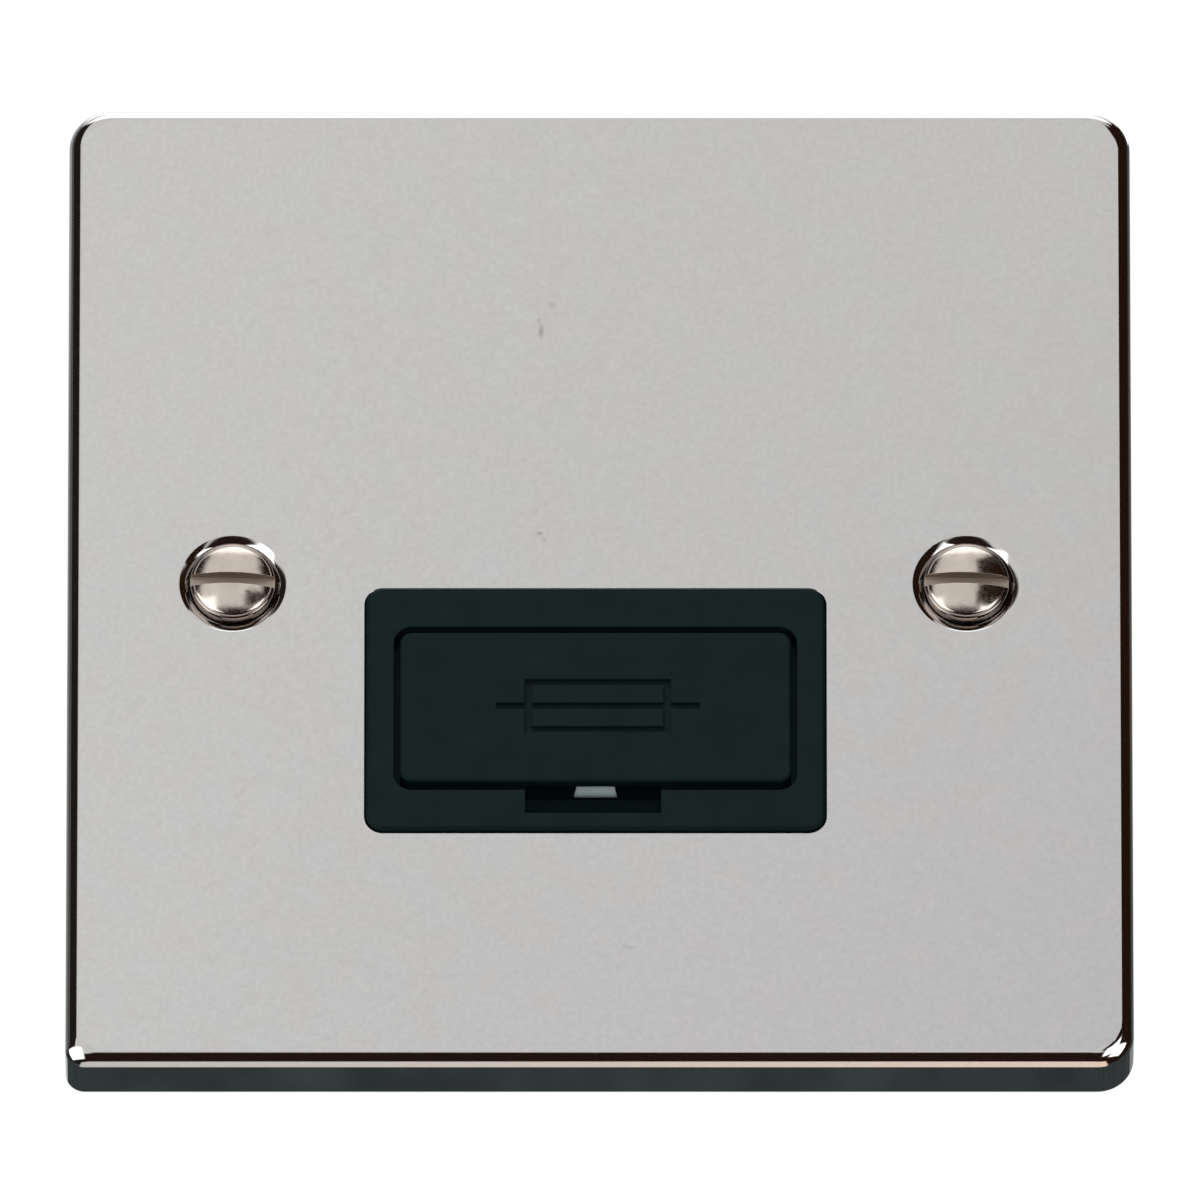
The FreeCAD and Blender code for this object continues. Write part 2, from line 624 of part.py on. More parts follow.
def rear_housing():
    """Moulded rear housing, open to the front, with cells for the terminals and screw bosses."""
    middle = (HOUSING_TOP + HOUSING_BOTTOM) / 2
    height = HOUSING_TOP - HOUSING_BOTTOM
    outer = rounded(0, middle, HOUSING_W, height, HOUSING_R, FLANGE_BACK, HOUSING_BACK)
    outer = outer.makeChamfer(HOUSING_BEVEL, edges_at(outer, HOUSING_BACK))
    inside_h = height - 2 * WALL
    solid = outer.cut(rounded(0, middle, 2 * INSIDE_W, inside_h, HOUSING_R - WALL, FLANGE_BACK - OVER, FLOOR))
    bosses = [rod_y(x, z, BOSS_R, BOSS_FRONT, FLOOR + LAP) for x, z in BOSSES]
    pad_x = CLIP_END - CLIP_W / 2
    pads = [post_y(x, WELL_Z, PAD_R, PAD_R + PAD_DRAFT, STRIP_BACK, FLOOR + LAP) for x in (-pad_x, pad_x)]
    return solid.fuse(housing_ribs() + bosses + pads).cut(housing_holes()).removeSplitter()


def housing_screw(x, z):
    """Pan head screw with a cross recess that pulls the rear housing on to the front moulding."""
    end = BOSS_SEAT + BOSS_HEAD_T
    head = rod_y(x, z, BOSS_HEAD_R, BOSS_SEAT, end)
    head = head.makeChamfer(BOSS_HEAD_BEVEL, edges_at(head, end))
    solid = head.fuse(rod_y(x, z, BOSS_SCREW_R, BOSS_SEAT - BOSS_GRIP, BOSS_SEAT))
    arms = ((CROSS_L / 2, CROSS_W / 2), (CROSS_W / 2, CROSS_L / 2))
    cross = [block(x - a, x + a, end - CROSS_D, end + OVER, z - b, z + b) for a, b in arms]
    return solid.cut(cross).removeSplitter()


def plate_stud(x, z):
    """Stud welded to the back of the plate."""
    end = FLANGE_BACK + STRIP_T + NUT_T + STUD_PAST_NUT
    solid = rod_y(x, z, STUD_R, INNER, end)
    return solid.makeChamfer(STUD_BEVEL, edges_at(solid, end))


def plate_nut(x, z):
    """Hexagon nut on a stud, on the flange or on the earth strap's foot."""
    seat = FLANGE_BACK + (STRIP_T if z < 0 else 0.0)
    corner = NUT_R / math.cos(math.pi / 6)
    turns = [math.radians(60 * i) for i in range(6)]
    outline = [(x + corner * math.cos(a), z + corner * math.sin(a)) for a in turns]
    hole = rod_y(x, z, STUD_R + THREAD_GAP, seat - OVER, seat + NUT_T + OVER)
    return plate_xz(outline, seat, seat + NUT_T).cut(hole)


def mechanism():
    """The pieces that share the insert's middle line, built about x = 0."""
    cap = fuse_cap()
    clip = fuse_clip()
    made = {
        "front_moulding": front_moulding(),
        "rear_housing": rear_housing(),
        "fuse_carrier": fuse_carrier(),
        "fuse_ceramic": fuse_ceramic(),
        "fuse_cap_supply": mirrored(cap),
        "fuse_cap_load": cap,
        "fuse_clip_supply": mirrored(clip),
        "fuse_clip_load": clip,
        "neutral_link": neutral_link(),
        "earth_strap": earth_strap(),
        "housing_screws": Part.makeCompound([housing_screw(x, z) for x, z in BOSSES]),
        "plate_studs": Part.makeCompound([plate_stud(x, z) for x, z in STUDS]),
        "plate_nuts": Part.makeCompound([plate_nut(x, z) for x, z in STUDS]),
    }
    for name, (x, z) in TERMINALS.items():
        is_earth = name.startswith("earth")
        width = EARTH_W if is_earth else TERMINAL_W
        made[f"{name}_terminal"] = terminal(x, z, width, EARTH_L if is_earth else TERMINAL_L)
        made[f"{name}_screw"] = terminal_screw(x, z)
    for shape in made.values():
        shape.translate(FreeCAD.Vector(INSERT_X, 0, 0))
    return made


def main():
    """Build every piece and write it to its own file."""
    os.makedirs("parts", exist_ok=True)
    nodes = mechanism()
    nodes["faceplate"] = faceplate()
    nodes["fixing_screw_left"] = fixing_screw(-SCREW_PITCH / 2)
    nodes["fixing_screw_right"] = fixing_screw(SCREW_PITCH / 2)
    for name, shape in nodes.items():
        shape.exportStep(f"parts/{name}.step")
        print(name, "solids", len(shape.Solids), "valid", shape.isValid(), "volume", round(shape.Volume, 1))


main()
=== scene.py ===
import logging
import math
from dataclasses import dataclass
from enum import Enum

import bmesh
import bpy
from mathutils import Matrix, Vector


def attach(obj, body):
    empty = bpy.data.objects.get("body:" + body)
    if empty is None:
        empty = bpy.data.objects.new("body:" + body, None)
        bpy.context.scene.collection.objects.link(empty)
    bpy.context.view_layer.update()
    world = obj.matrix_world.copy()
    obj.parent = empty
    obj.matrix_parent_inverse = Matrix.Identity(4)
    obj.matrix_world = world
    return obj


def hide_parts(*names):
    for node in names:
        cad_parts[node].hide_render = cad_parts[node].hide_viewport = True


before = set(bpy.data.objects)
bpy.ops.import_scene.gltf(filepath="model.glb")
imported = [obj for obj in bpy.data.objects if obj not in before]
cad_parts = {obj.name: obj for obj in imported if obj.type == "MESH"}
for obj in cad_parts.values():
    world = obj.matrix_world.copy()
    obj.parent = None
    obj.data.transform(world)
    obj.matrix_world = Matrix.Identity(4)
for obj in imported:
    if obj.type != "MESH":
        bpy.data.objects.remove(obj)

MM = 0.001
Colour = tuple[float, float, float]
Place = tuple[float, float, float]
Flat = tuple[float, float]
Ring = list[bmesh.types.BMVert]
Socket = bpy.types.NodeSocket
Input = Socket | Colour | float
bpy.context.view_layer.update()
SCREW_PITCH = 60.3
SLOT_W = 1.0
SLOT_TILT = 1.5
VIEW_ELEVATION = -26.4
NOISE_RANGE = (0.3, 0.7)
SMOOTH_DETAIL = 1.0
PLAIN_DETAIL = 2.0
GRAIN_DETAIL = 3.0
CLOUD_DETAIL = 4.0
BEVEL_SAMPLES = 4
FACE_WEIGHT = 100
QUARTERS = ((1, 1), (-1, 1), (-1, -1), (1, -1))
LOG = logging.getLogger("spur_unit")


class Finish(Enum):
    """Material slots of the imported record."""

    PLATE = "polished_plate"
    SCREWS = "fixing_screws"
    BLACK = "black_moulding"
    REAR = "rear_moulding"
    CERAMIC = "ceramic"
    BRASS = "brass"
    NICKEL = "nickel"
    STEEL = "plated_steel"


class NodeBench:
    """A material with one principled shader, and short ways to add nodes to it."""

    def __init__(self, name: str) -> None:
        """Starts an empty material.

        Args:
            name: Name of the material.
        """
        self.material = bpy.data.materials.new(name)
        self.material.use_nodes = True
        self.tree = self.material.node_tree
        self.shader = self.tree.nodes["Principled BSDF"]
        self.place = self.add("ShaderNodeTexCoord").outputs["Object"]

    def add(self, kind: str) -> bpy.types.Node:
        """Adds a node of this kind."""
        return self.tree.nodes.new(kind)

    def link(self, source: Socket, target: Socket) -> None:
        """Joins two sockets."""
        self.tree.links.new(source, target)

    def feed(self, socket: Socket, value: Input) -> None:
        """Fills an input.

        Args:
            socket: The input.
            value: A socket to link to it, or a colour or a number to set.
        """
        if isinstance(value, Socket):
            self.link(value, socket)
        elif isinstance(value, tuple):
            socket.default_value = (*value, 1.0)
        else:
            socket.default_value = value

    def noise(self, size_mm: float, detail: float = PLAIN_DETAIL) -> Socket:
        """Adds noise in the object's own space.

        Args:
            size_mm: Size of one blotch in millimetres.
            detail: Number of finer layers.

        Returns:
            The noise's value, about 0.5 on average.
        """
        texture = self.add("ShaderNodeTexNoise")
        texture.inputs["Scale"].default_value = 1.0 / (size_mm * MM)
        texture.inputs["Detail"].default_value = detail
        self.link(self.place, texture.inputs["Vector"])
        return texture.outputs["Fac"]

    def spread(self, value: Socket, low: float, high: float) -> Socket:
        """Maps the middle of a noise to a range.

        Args:
            value: The noise.
            low: Value at the low end of the noise and under it.
            high: Value at the high end of the noise and over it.

        Returns:
            The mapped value.
        """
        ranged = self.add("ShaderNodeMapRange")
        ranged.inputs["From Min"].default_value = NOISE_RANGE[0]
        ranged.inputs["From Max"].default_value = NOISE_RANGE[1]
        ranged.inputs["To Min"].default_value = low
        ranged.inputs["To Max"].default_value = high
        self.link(value, ranged.inputs["Value"])
        return ranged.outputs["Result"]

    def mix(self, share: Input, first: Input, second: Input) -> Socket:
        """Mixes two colours.

        Args:
            share: Share of the second colour, 0 to 1, as a number or a socket.
            first: A colour or a colour socket.
            second: A colour or a colour socket.

        Returns:
            The mixed colour.
        """
        mixer = self.add("ShaderNodeMix")
        mixer.data_type = "RGBA"
        self.feed(mixer.inputs["Factor"], share)
        self.feed(mixer.inputs[6], first)
        self.feed(mixer.inputs[7], second)
        return mixer.outputs[2]

    def blotches(self, size_mm: float, detail: float, first: Colour, second: Colour) -> Socket:
        """Adds blotches of one colour in another.

        Args:
            size_mm: Size of one blotch in millimetres.
            detail: Number of finer layers.
            first: The ground.
            second: The blotches.

        Returns:
            The mixed colour.
        """
        return self.mix(self.spread(self.noise(size_mm, detail), 0.0, 1.0), first, second)

    def scuffs(self, size_mm: float, roughness: float, share: float) -> Socket:
        """Adds fine scuffs.

        Args:
            size_mm: Size of one scuff in millimetres.
            roughness: Roughness on average.
            share: By how much of it the roughness goes up and down.

        Returns:
            The roughness.
        """
        grain = self.noise(size_mm, GRAIN_DETAIL)
        return self.spread(grain, roughness * (1 - share), roughness * (1 + share))

    def mark(self, centre_mm: Flat, half_mm: Flat, reach: float = 1e6) -> Socket:
        """Adds an oval mask about a line along Y.

        Args:
            centre_mm: X and Z of its middle.
            half_mm: Half its width and half its height.
            reach: How far it reaches along Y, so far that it is the same at every depth.

        Returns:
            1 in the middle, falling to 0 at the border.
        """
        moved = self.add("ShaderNodeMapping")
        moved.vector_type = "TEXTURE"
        moved.inputs["Location"].default_value = (centre_mm[0] * MM, 0.0, centre_mm[1] * MM)
        moved.inputs["Scale"].default_value = (half_mm[0] * MM, reach, half_mm[1] * MM)
        self.link(self.place, moved.inputs["Vector"])
        away = self.add("ShaderNodeVectorMath")
        away.operation = "LENGTH"
        self.link(moved.outputs["Vector"], away.inputs[0])
        mask = self.add("ShaderNodeMapRange")
        mask.interpolation_type = "SMOOTHSTEP"
        mask.inputs["From Min"].default_value = 1.0
        mask.inputs["From Max"].default_value = 0.0
        self.link(away.outputs["Value"], mask.inputs["Value"])
        return mask.outputs["Result"]

    def math(self, operation: str, first: Input, second: Input = 0.0, third: Input = 0.0) -> Socket:
        """Adds a calculation.

        Args:
            operation: Name of the calculation.
            first: A number or a socket.
            second: A number or a socket.
            third: A number or a socket.

        Returns:
            The result.
        """
        node = self.add("ShaderNodeMath")
        node.operation = operation
        for socket, value in zip(node.inputs, (first, second, third)):
            self.feed(socket, value)
        return node.outputs[0]

    def surface(self, edge_mm: float, bumps: list[tuple[Socket, float]]) -> None:
        """Gives the shader softened edges and fine bumps.

        Args:
            edge_mm: Radius by which edges look softened.
            bumps: Height maps with their depths in millimetres.
        """
        softened = self.add("ShaderNodeBevel")
        softened.samples = BEVEL_SAMPLES
        softened.inputs["Radius"].default_value = edge_mm * MM
        normal = softened.outputs["Normal"]
        for height, depth_mm in bumps:
            bump = self.add("ShaderNodeBump")
            bump.inputs["Distance"].default_value = depth_mm * MM
            self.link(height, bump.inputs["Height"])
            self.link(normal, bump.inputs["Normal"])
            normal = bump.outputs["Normal"]
        self.link(normal, self.shader.inputs["Normal"])


@dataclass(frozen=True)
class Mark:
    """Small dull place in the plating: its middle, half its size in millimetres and how dull it is."""

    centre: Flat
    half: Flat
    share: float


@dataclass(frozen=True)
class Chrome:
    """Bright chrome plate with faint clouding and a few dull places."""

    name: str = "bright_chrome"
    colour: Colour = (0.552, 0.548, 0.535)
    clouding: float = 0.075
    clouding_mm: float = 0.40
    drift: float = 0.018
    drift_mm: float = 3.2
    cool: Colour = (-1.2, 0.2, 1.6)
    warm: Colour = (1.6, -0.6, -0.6)
    tint_share: float = 0.5
    roughness: Flat = (0.05, 0.075)
    roughness_mm: float = 2.5
    edge: float = 0.05
    wave_mm: float = 9.0
    wave: float = 0.0012
    dull: Colour = (0.30, 0.29, 0.275)
    marks: tuple[Mark, ...] = (
        Mark((-4.82, 23.2), (0.36, 0.95), 0.75),
        Mark((-4.98, 24.2), (0.22, 0.50), 0.35),
        Mark((-3.90, 25.6), (0.45, 0.45), 0.40),
        Mark((-3.60, 24.7), (0.35, 0.45), 0.15),
        Mark((-4.94, 4.60), (0.42, 0.32), 0.70),
        Mark((-4.60, 4.05), (0.42, 0.40), 0.35),
        Mark((-5.25, 6.60), (0.35, 0.55), 0.18),
        Mark((2.62, -33.3), (0.42, 0.22), 0.40),
        Mark((2.05, -33.2), (0.35, 0.40), 0.20),
    )

    def tinted(self, tint: Colour) -> Colour:
        """The plating's colour with its tone drifted towards a tint."""
        return tuple(c * (1.0 + self.drift * t) for c, t in zip(self.colour, tint))

    def material(self) -> bpy.types.Material:
        """Makes the material."""
        bench = NodeBench(self.name)
        deep = tuple(c * (1.0 - self.clouding) for c in self.colour)
        bright = tuple(c * (1.0 + self.clouding) for c in self.colour)
        clouds = bench.blotches(self.clouding_mm, CLOUD_DETAIL, deep, bright)
        cool = self.tinted(self.cool)
        tints = bench.blotches(self.drift_mm, PLAIN_DETAIL, cool, self.tinted(self.warm))
        colour = bench.mix(self.tint_share, clouds, tints)
        for mark in self.marks:
            share = bench.math("MULTIPLY", bench.mark(mark.centre, mark.half), mark.share)
            colour = bench.mix(share, colour, self.dull)
        bench.link(colour, bench.shader.inputs["Base Color"])
        gloss = bench.spread(bench.noise(self.roughness_mm), *self.roughness)
        bench.link(gloss, bench.shader.inputs["Roughness"])
        bench.shader.inputs["Metallic"].default_value = 1.0
        bench.surface(self.edge, [(bench.noise(self.wave_mm, SMOOTH_DETAIL), self.wave)])
        return bench.material


@dataclass(frozen=True)
class ScrewSteel:
    """Plated steel of the fixing screws, rougher in the slot, with painted shade darkening the slot and the
    rim of the head where it meets the dish.
    """

    name: str = "screw_steel"
    colour: Colour = (0.61, 0.545, 0.49)
    tarnish: Colour = (0.53, 0.465, 0.41)
    # Painted shade: darker colour round the rim of the head, where it meets the dish.
    rim_shade_colour: Colour = (0.31, 0.26, 0.235)
    # Painted shade: darker, warmer colour on the slot's walls and floor.
    slot_shade_colour: Colour = (0.42, 0.355, 0.295)
    pitch: float = SCREW_PITCH
    rim: Flat = (3.08, 3.22)
    slot_w: float = SLOT_W
    slot_margin: float = 0.004
    slot_tilt: float = SLOT_TILT
    head_back: float = -5.2
    roughness: float = 0.16
    slot_roughness: float = 0.5
    scuffing: float = 0.3
    patch: float = 1.6
    grain: float = 0.35
    edge: float = 0.06
    bump: float = 0.004

    def material(self) -> bpy.types.Material:
        """Makes the material."""
        bench = NodeBench(self.name)
        axes = bench.add("ShaderNodeSeparateXYZ")
        bench.link(bench.place, axes.inputs["Vector"])
        x, y, z = (axes.outputs[axis] for axis in ("X", "Y", "Z"))
        side = bench.math("SIGN", x)
        along = bench.math("MULTIPLY_ADD", side, -self.pitch / 2 * MM, x)
        away = bench.math("SQRT", bench.math("MULTIPLY_ADD", along, along, bench.math("MULTIPLY", z, z)))
        rim = bench.add("ShaderNodeMapRange")
        rim.inputs["From Min"].default_value = self.rim[0] * MM
        rim.inputs["From Max"].default_value = self.rim[1] * MM
        bench.link(away, rim.inputs["Value"])
        turn = math.radians(self.slot_tilt)
        level = bench.math("MULTIPLY", z, math.cos(turn))
        across = bench.math("ABSOLUTE", bench.math("MULTIPLY_ADD", along, math.sin(turn), level))
        between = bench.math("LESS_THAN", across, (self.slot_w / 2 + self.slot_margin) * MM)
        slot = bench.math("MULTIPLY", between, bench.math("LESS_THAN", y, self.head_back * MM))
        colour = bench.blotches(self.patch, GRAIN_DETAIL, self.colour, self.tarnish)
        # Painted shade: the rim of the head is darkened where it meets the dish.
        colour = bench.mix(rim.outputs["Result"], colour, self.rim_shade_colour)
        # Painted shade: the slot is darkened, on top of its higher roughness.
        bench.link(bench.mix(slot, colour, self.slot_shade_colour), bench.shader.inputs["Base Color"])
        scuffs = bench.scuffs(self.grain, self.roughness, self.scuffing)
        dull = bench.math("MAXIMUM", scuffs, bench.math("MULTIPLY", slot, self.slot_roughness))
        bench.link(dull, bench.shader.inputs["Roughness"])
        bench.shader.inputs["Metallic"].default_value = 1.0
        bench.surface(self.edge, [(bench.noise(self.grain), self.bump)])
        return bench.material


@dataclass(frozen=True)
class Metal:
    """Turned, drawn or plated metal with fine grain and uneven tone."""

    name: str
    colour: Colour
    tarnish: Colour
    roughness: float
    scuffing: float = 0.3
    patch: float = 1.6
    grain: float = 0.35
    edge: float = 0.08
    bump: float = 0.004

    def material(self) -> bpy.types.Material:
        """Makes the material."""
        bench = NodeBench(self.name)
        patches = bench.blotches(self.patch, GRAIN_DETAIL, self.colour, self.tarnish)
        bench.link(patches, bench.shader.inputs["Base Color"])
        scuffs = bench.scuffs(self.grain, self.roughness, self.scuffing)
        bench.link(scuffs, bench.shader.inputs["Roughness"])
        bench.shader.inputs["Metallic"].default_value = 1.0
        bench.surface(self.edge, [(bench.noise(self.grain), self.bump)])
        return bench.material


@dataclass(frozen=True)
class Moulded:
    """Moulded plastic with the fine texture of its tool and a slight sink."""

    name: str
    colour: Colour
    pale: Colour
    roughness: float
    specular: float
    scuffing: float = 0.15
    patch: float = 3.0
    scuff: float = 0.5
    grain: float = 0.12
    bump: float = 0.004
    sink_mm: float = 7.0
    sink: float = 0.02
    edge: float = 0.12

    def material(self) -> bpy.types.Material:
        """Makes the material."""
        bench = NodeBench(self.name)
        patches = bench.blotches(self.patch, CLOUD_DETAIL, self.colour, self.pale)
        bench.link(patches, bench.shader.inputs["Base Color"])
        scuffs = bench.scuffs(self.scuff, self.roughness, self.scuffing)
        bench.link(scuffs, bench.shader.inputs["Roughness"])
        bench.shader.inputs["Specular IOR Level"].default_value = self.specular
        texture = (bench.noise(self.grain), self.bump)
        bench.surface(self.edge, [texture, (bench.noise(self.sink_mm, SMOOTH_DETAIL), self.sink)])
        return bench.material


def add_piece(mesh: bmesh.types.BMesh, name: str) -> bpy.types.Object:
    """Turns a mesh into an object and frees the mesh.

    Args:
        mesh: The mesh, in metres.
        name: Name of the object.

    Returns:
        The object, in the scene.
    """
    data = bpy.data.meshes.new(name)
    mesh.to_mesh(data)
    mesh.free()
    made = bpy.data.objects.new(name, data)
    bpy.context.scene.collection.objects.link(made)
    return made


class Shell:
    """Rings of points in millimetres that are joined into one closed mesh."""

    def __init__(self) -> None:
        """Starts an empty mesh."""
        self.mesh = bmesh.new()

    def ring(self, points: list[Vector]) -> Ring:
        """Adds the points of a ring."""
        return [self.mesh.verts.new(point * MM) for point in points]

    def bridge(self, first: Ring, second: Ring) -> None:
        """Joins two rings with the same number of points by a band of faces."""
        count = len(first)
        for i in range(count):
            j = (i + 1) % count
            self.mesh.faces.new((first[i], first[j], second[j], second[i]))

    def tube(self, rings: list[Ring]) -> None:
        """Joins rings one after the other."""
        for first, second in zip(rings, rings[1:]):
            self.bridge(first, second)

    def fan(self, ring: Ring, centre: Vector) -> None:
        """Closes a ring with triangles to a centre."""
        middle = self.mesh.verts.new(centre * MM)
        for i, vertex in enumerate(ring):
            self.mesh.faces.new((vertex, ring[(i + 1) % len(ring)], middle))

    def flat(self, rings: list[Ring]) -> None:
        """Fills the flat face between an outline and the holes in it."""
        edges = [
            self.mesh.edges.get((a, b))
            for ring in rings
            for a, b in zip(ring, ring[1:] + ring[:1])
        ]
        bmesh.ops.triangle_fill(self.mesh, use_beauty=True, use_dissolve=False, edges=edges)

    def piece(self, name: str) -> bpy.types.Object:
        """Turns the mesh into an object of this name, with its faces outwards."""
        bmesh.ops.recalc_face_normals(self.mesh, faces=self.mesh.faces[:])
        return add_piece(self.mesh, name)


def shade(piece: bpy.types.Object, crease_degrees: float = 28.0) -> None:
    """Shades a piece smooth, with sharp creases and flat faces kept flat.

    Args:
        piece: The piece.
        crease_degrees: Edges that turn by more than this stay sharp.
    """
    mesh = bmesh.new()
    mesh.from_mesh(piece.data)
    for face in mesh.faces:
        face.smooth = True
    for edge in mesh.edges:
        edge.smooth = edge.is_manifold and edge.calc_face_angle(0.0) < math.radians(crease_degrees)
    mesh.to_mesh(piece.data)
    mesh.free()
    weighting = piece.modifiers.new("flat_faces", "WEIGHTED_NORMAL")
    weighting.mode = "FACE_AREA"
    weighting.weight = FACE_WEIGHT
    weighting.keep_sharp = True


def install(piece: bpy.types.Object, node: str, body: str, look: bpy.types.Material) -> None:
    """Puts a piece in the place of a node.

    Args:
        piece: The piece.
        node: Name of the node that it stands for.
        body: The body that it rides on.
        look: Its material.
    """
    piece.data.materials.clear()
    piece.data.materials.append(look)
    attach(piece, body)
    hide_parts(node)
    LOG.info("%s: %d faces, rides on %s", piece.name, len(piece.data.polygons), body)


def cut(piece: bpy.types.Object, cutter: bpy.types.Object) -> None:
    """Takes the shape of a cutter out of a piece and deletes the cutter."""
    removal = piece.modifiers.new("cut", "BOOLEAN")
    removal.operation = "DIFFERENCE"
    removal.solver = "EXACT"
    removal.object = cutter
    bpy.context.view_layer.update()
    graph = bpy.context.evaluated_depsgraph_get()
    result = bpy.data.meshes.new_from_object(piece.evaluated_get(graph))
    piece.modifiers.remove(removal)
    old = piece.data
    piece.data = result
    bpy.data.meshes.remove(old)
    bpy.data.objects.remove(cutter)


def rounded_outline(centre: Flat, size: Flat, radii: tuple[float, ...], y: float, steps: int) -> list[Vector]:
    """Outline of a rectangle with rounded corners in a plane of constant Y.

    Args:
        centre: X and Z of its middle.
        size: Width and height.
        radii: Radius of the upper right, upper left, lower left and lower right corner.
        y: The plane.
        steps: Straight runs in each corner.

    Returns:
        The points in order round the outline.
    """
    points = []
    for corner, (side_x, side_z) in enumerate(QUARTERS):
        radius = radii[corner]
        middle_x = centre[0] + side_x * (size[0] / 2 - radius)
        middle_z = centre[1] + side_z * (size[1] / 2 - radius)
        for step in range(steps + 1):
            angle = math.pi / 2 * (corner + step / steps)
            x = middle_x + radius * math.cos(angle)
            z = middle_z + radius * math.sin(angle)
            points.append(Vector((x, y, z)))
    return points


def circle(x: float, radius: float, y: float, steps: int) -> list[Vector]:
    """Points of a circle about a line along Y at the height of the origin."""
    turns = [2 * math.pi * i / steps for i in range(steps)]
    return [Vector((x + radius * math.cos(t), y, radius * math.sin(t))) for t in turns]


@dataclass(frozen=True)
class PressedEdge:
    """Section of an edge pressed in a tool: it leaves the flat face at a small angle, then rolls over.

    Its width and depth are in millimetres, and its start and end are slopes in degrees.
    """

    width: float
    depth: float
    start: float
    end: float
    steps: int

    def section(self) -> list[Flat]:
        """Points of the section.

        Returns:
            How far each point lies out from the flat face's border, and how far behind the face.
        """
        first = math.radians(self.start)
        last = math.radians(self.end)
        across = self.width / (math.sin(last) - math.sin(first))
        deep = self.depth / (math.cos(first) - math.cos(last))
        points = []
        for step in range(self.steps + 1):
            angle = first + (last - first) * step / self.steps
            out = across * (math.sin(angle) - math.sin(first))
            back = deep * (math.cos(first) - math.cos(angle))
            points.append((out, back))
        return points


def prism(outline: list[Flat], y0: float, y1: float, name: str) -> bpy.types.Object:
    """A block with an outline in X and Z, from y0 to y1."""
    shell = Shell()
    front = shell.ring([Vector((x, y0, z)) for x, z in outline])
    back = shell.ring([Vector((x, y1, z)) for x, z in outline])
    shell.bridge(front, back)
    shell.mesh.faces.new(front)
    shell.mesh.faces.new(back)
    return shell.piece(name)


def bar_outline(centre: Flat, size: Flat, turn: float = 0.0) -> list[Flat]:
    """Corners of a rectangle in X and Z, turned by an angle in radians."""
    corners = []
    for side_x, side_z in QUARTERS:
        x = side_x * size[0] / 2
        z = side_z * size[1] / 2
        across = x * math.cos(turn) + z * math.sin(turn)
        up = z * math.cos(turn) - x * math.sin(turn)
        corners.append((centre[0] + across, centre[1] + up))
    return corners


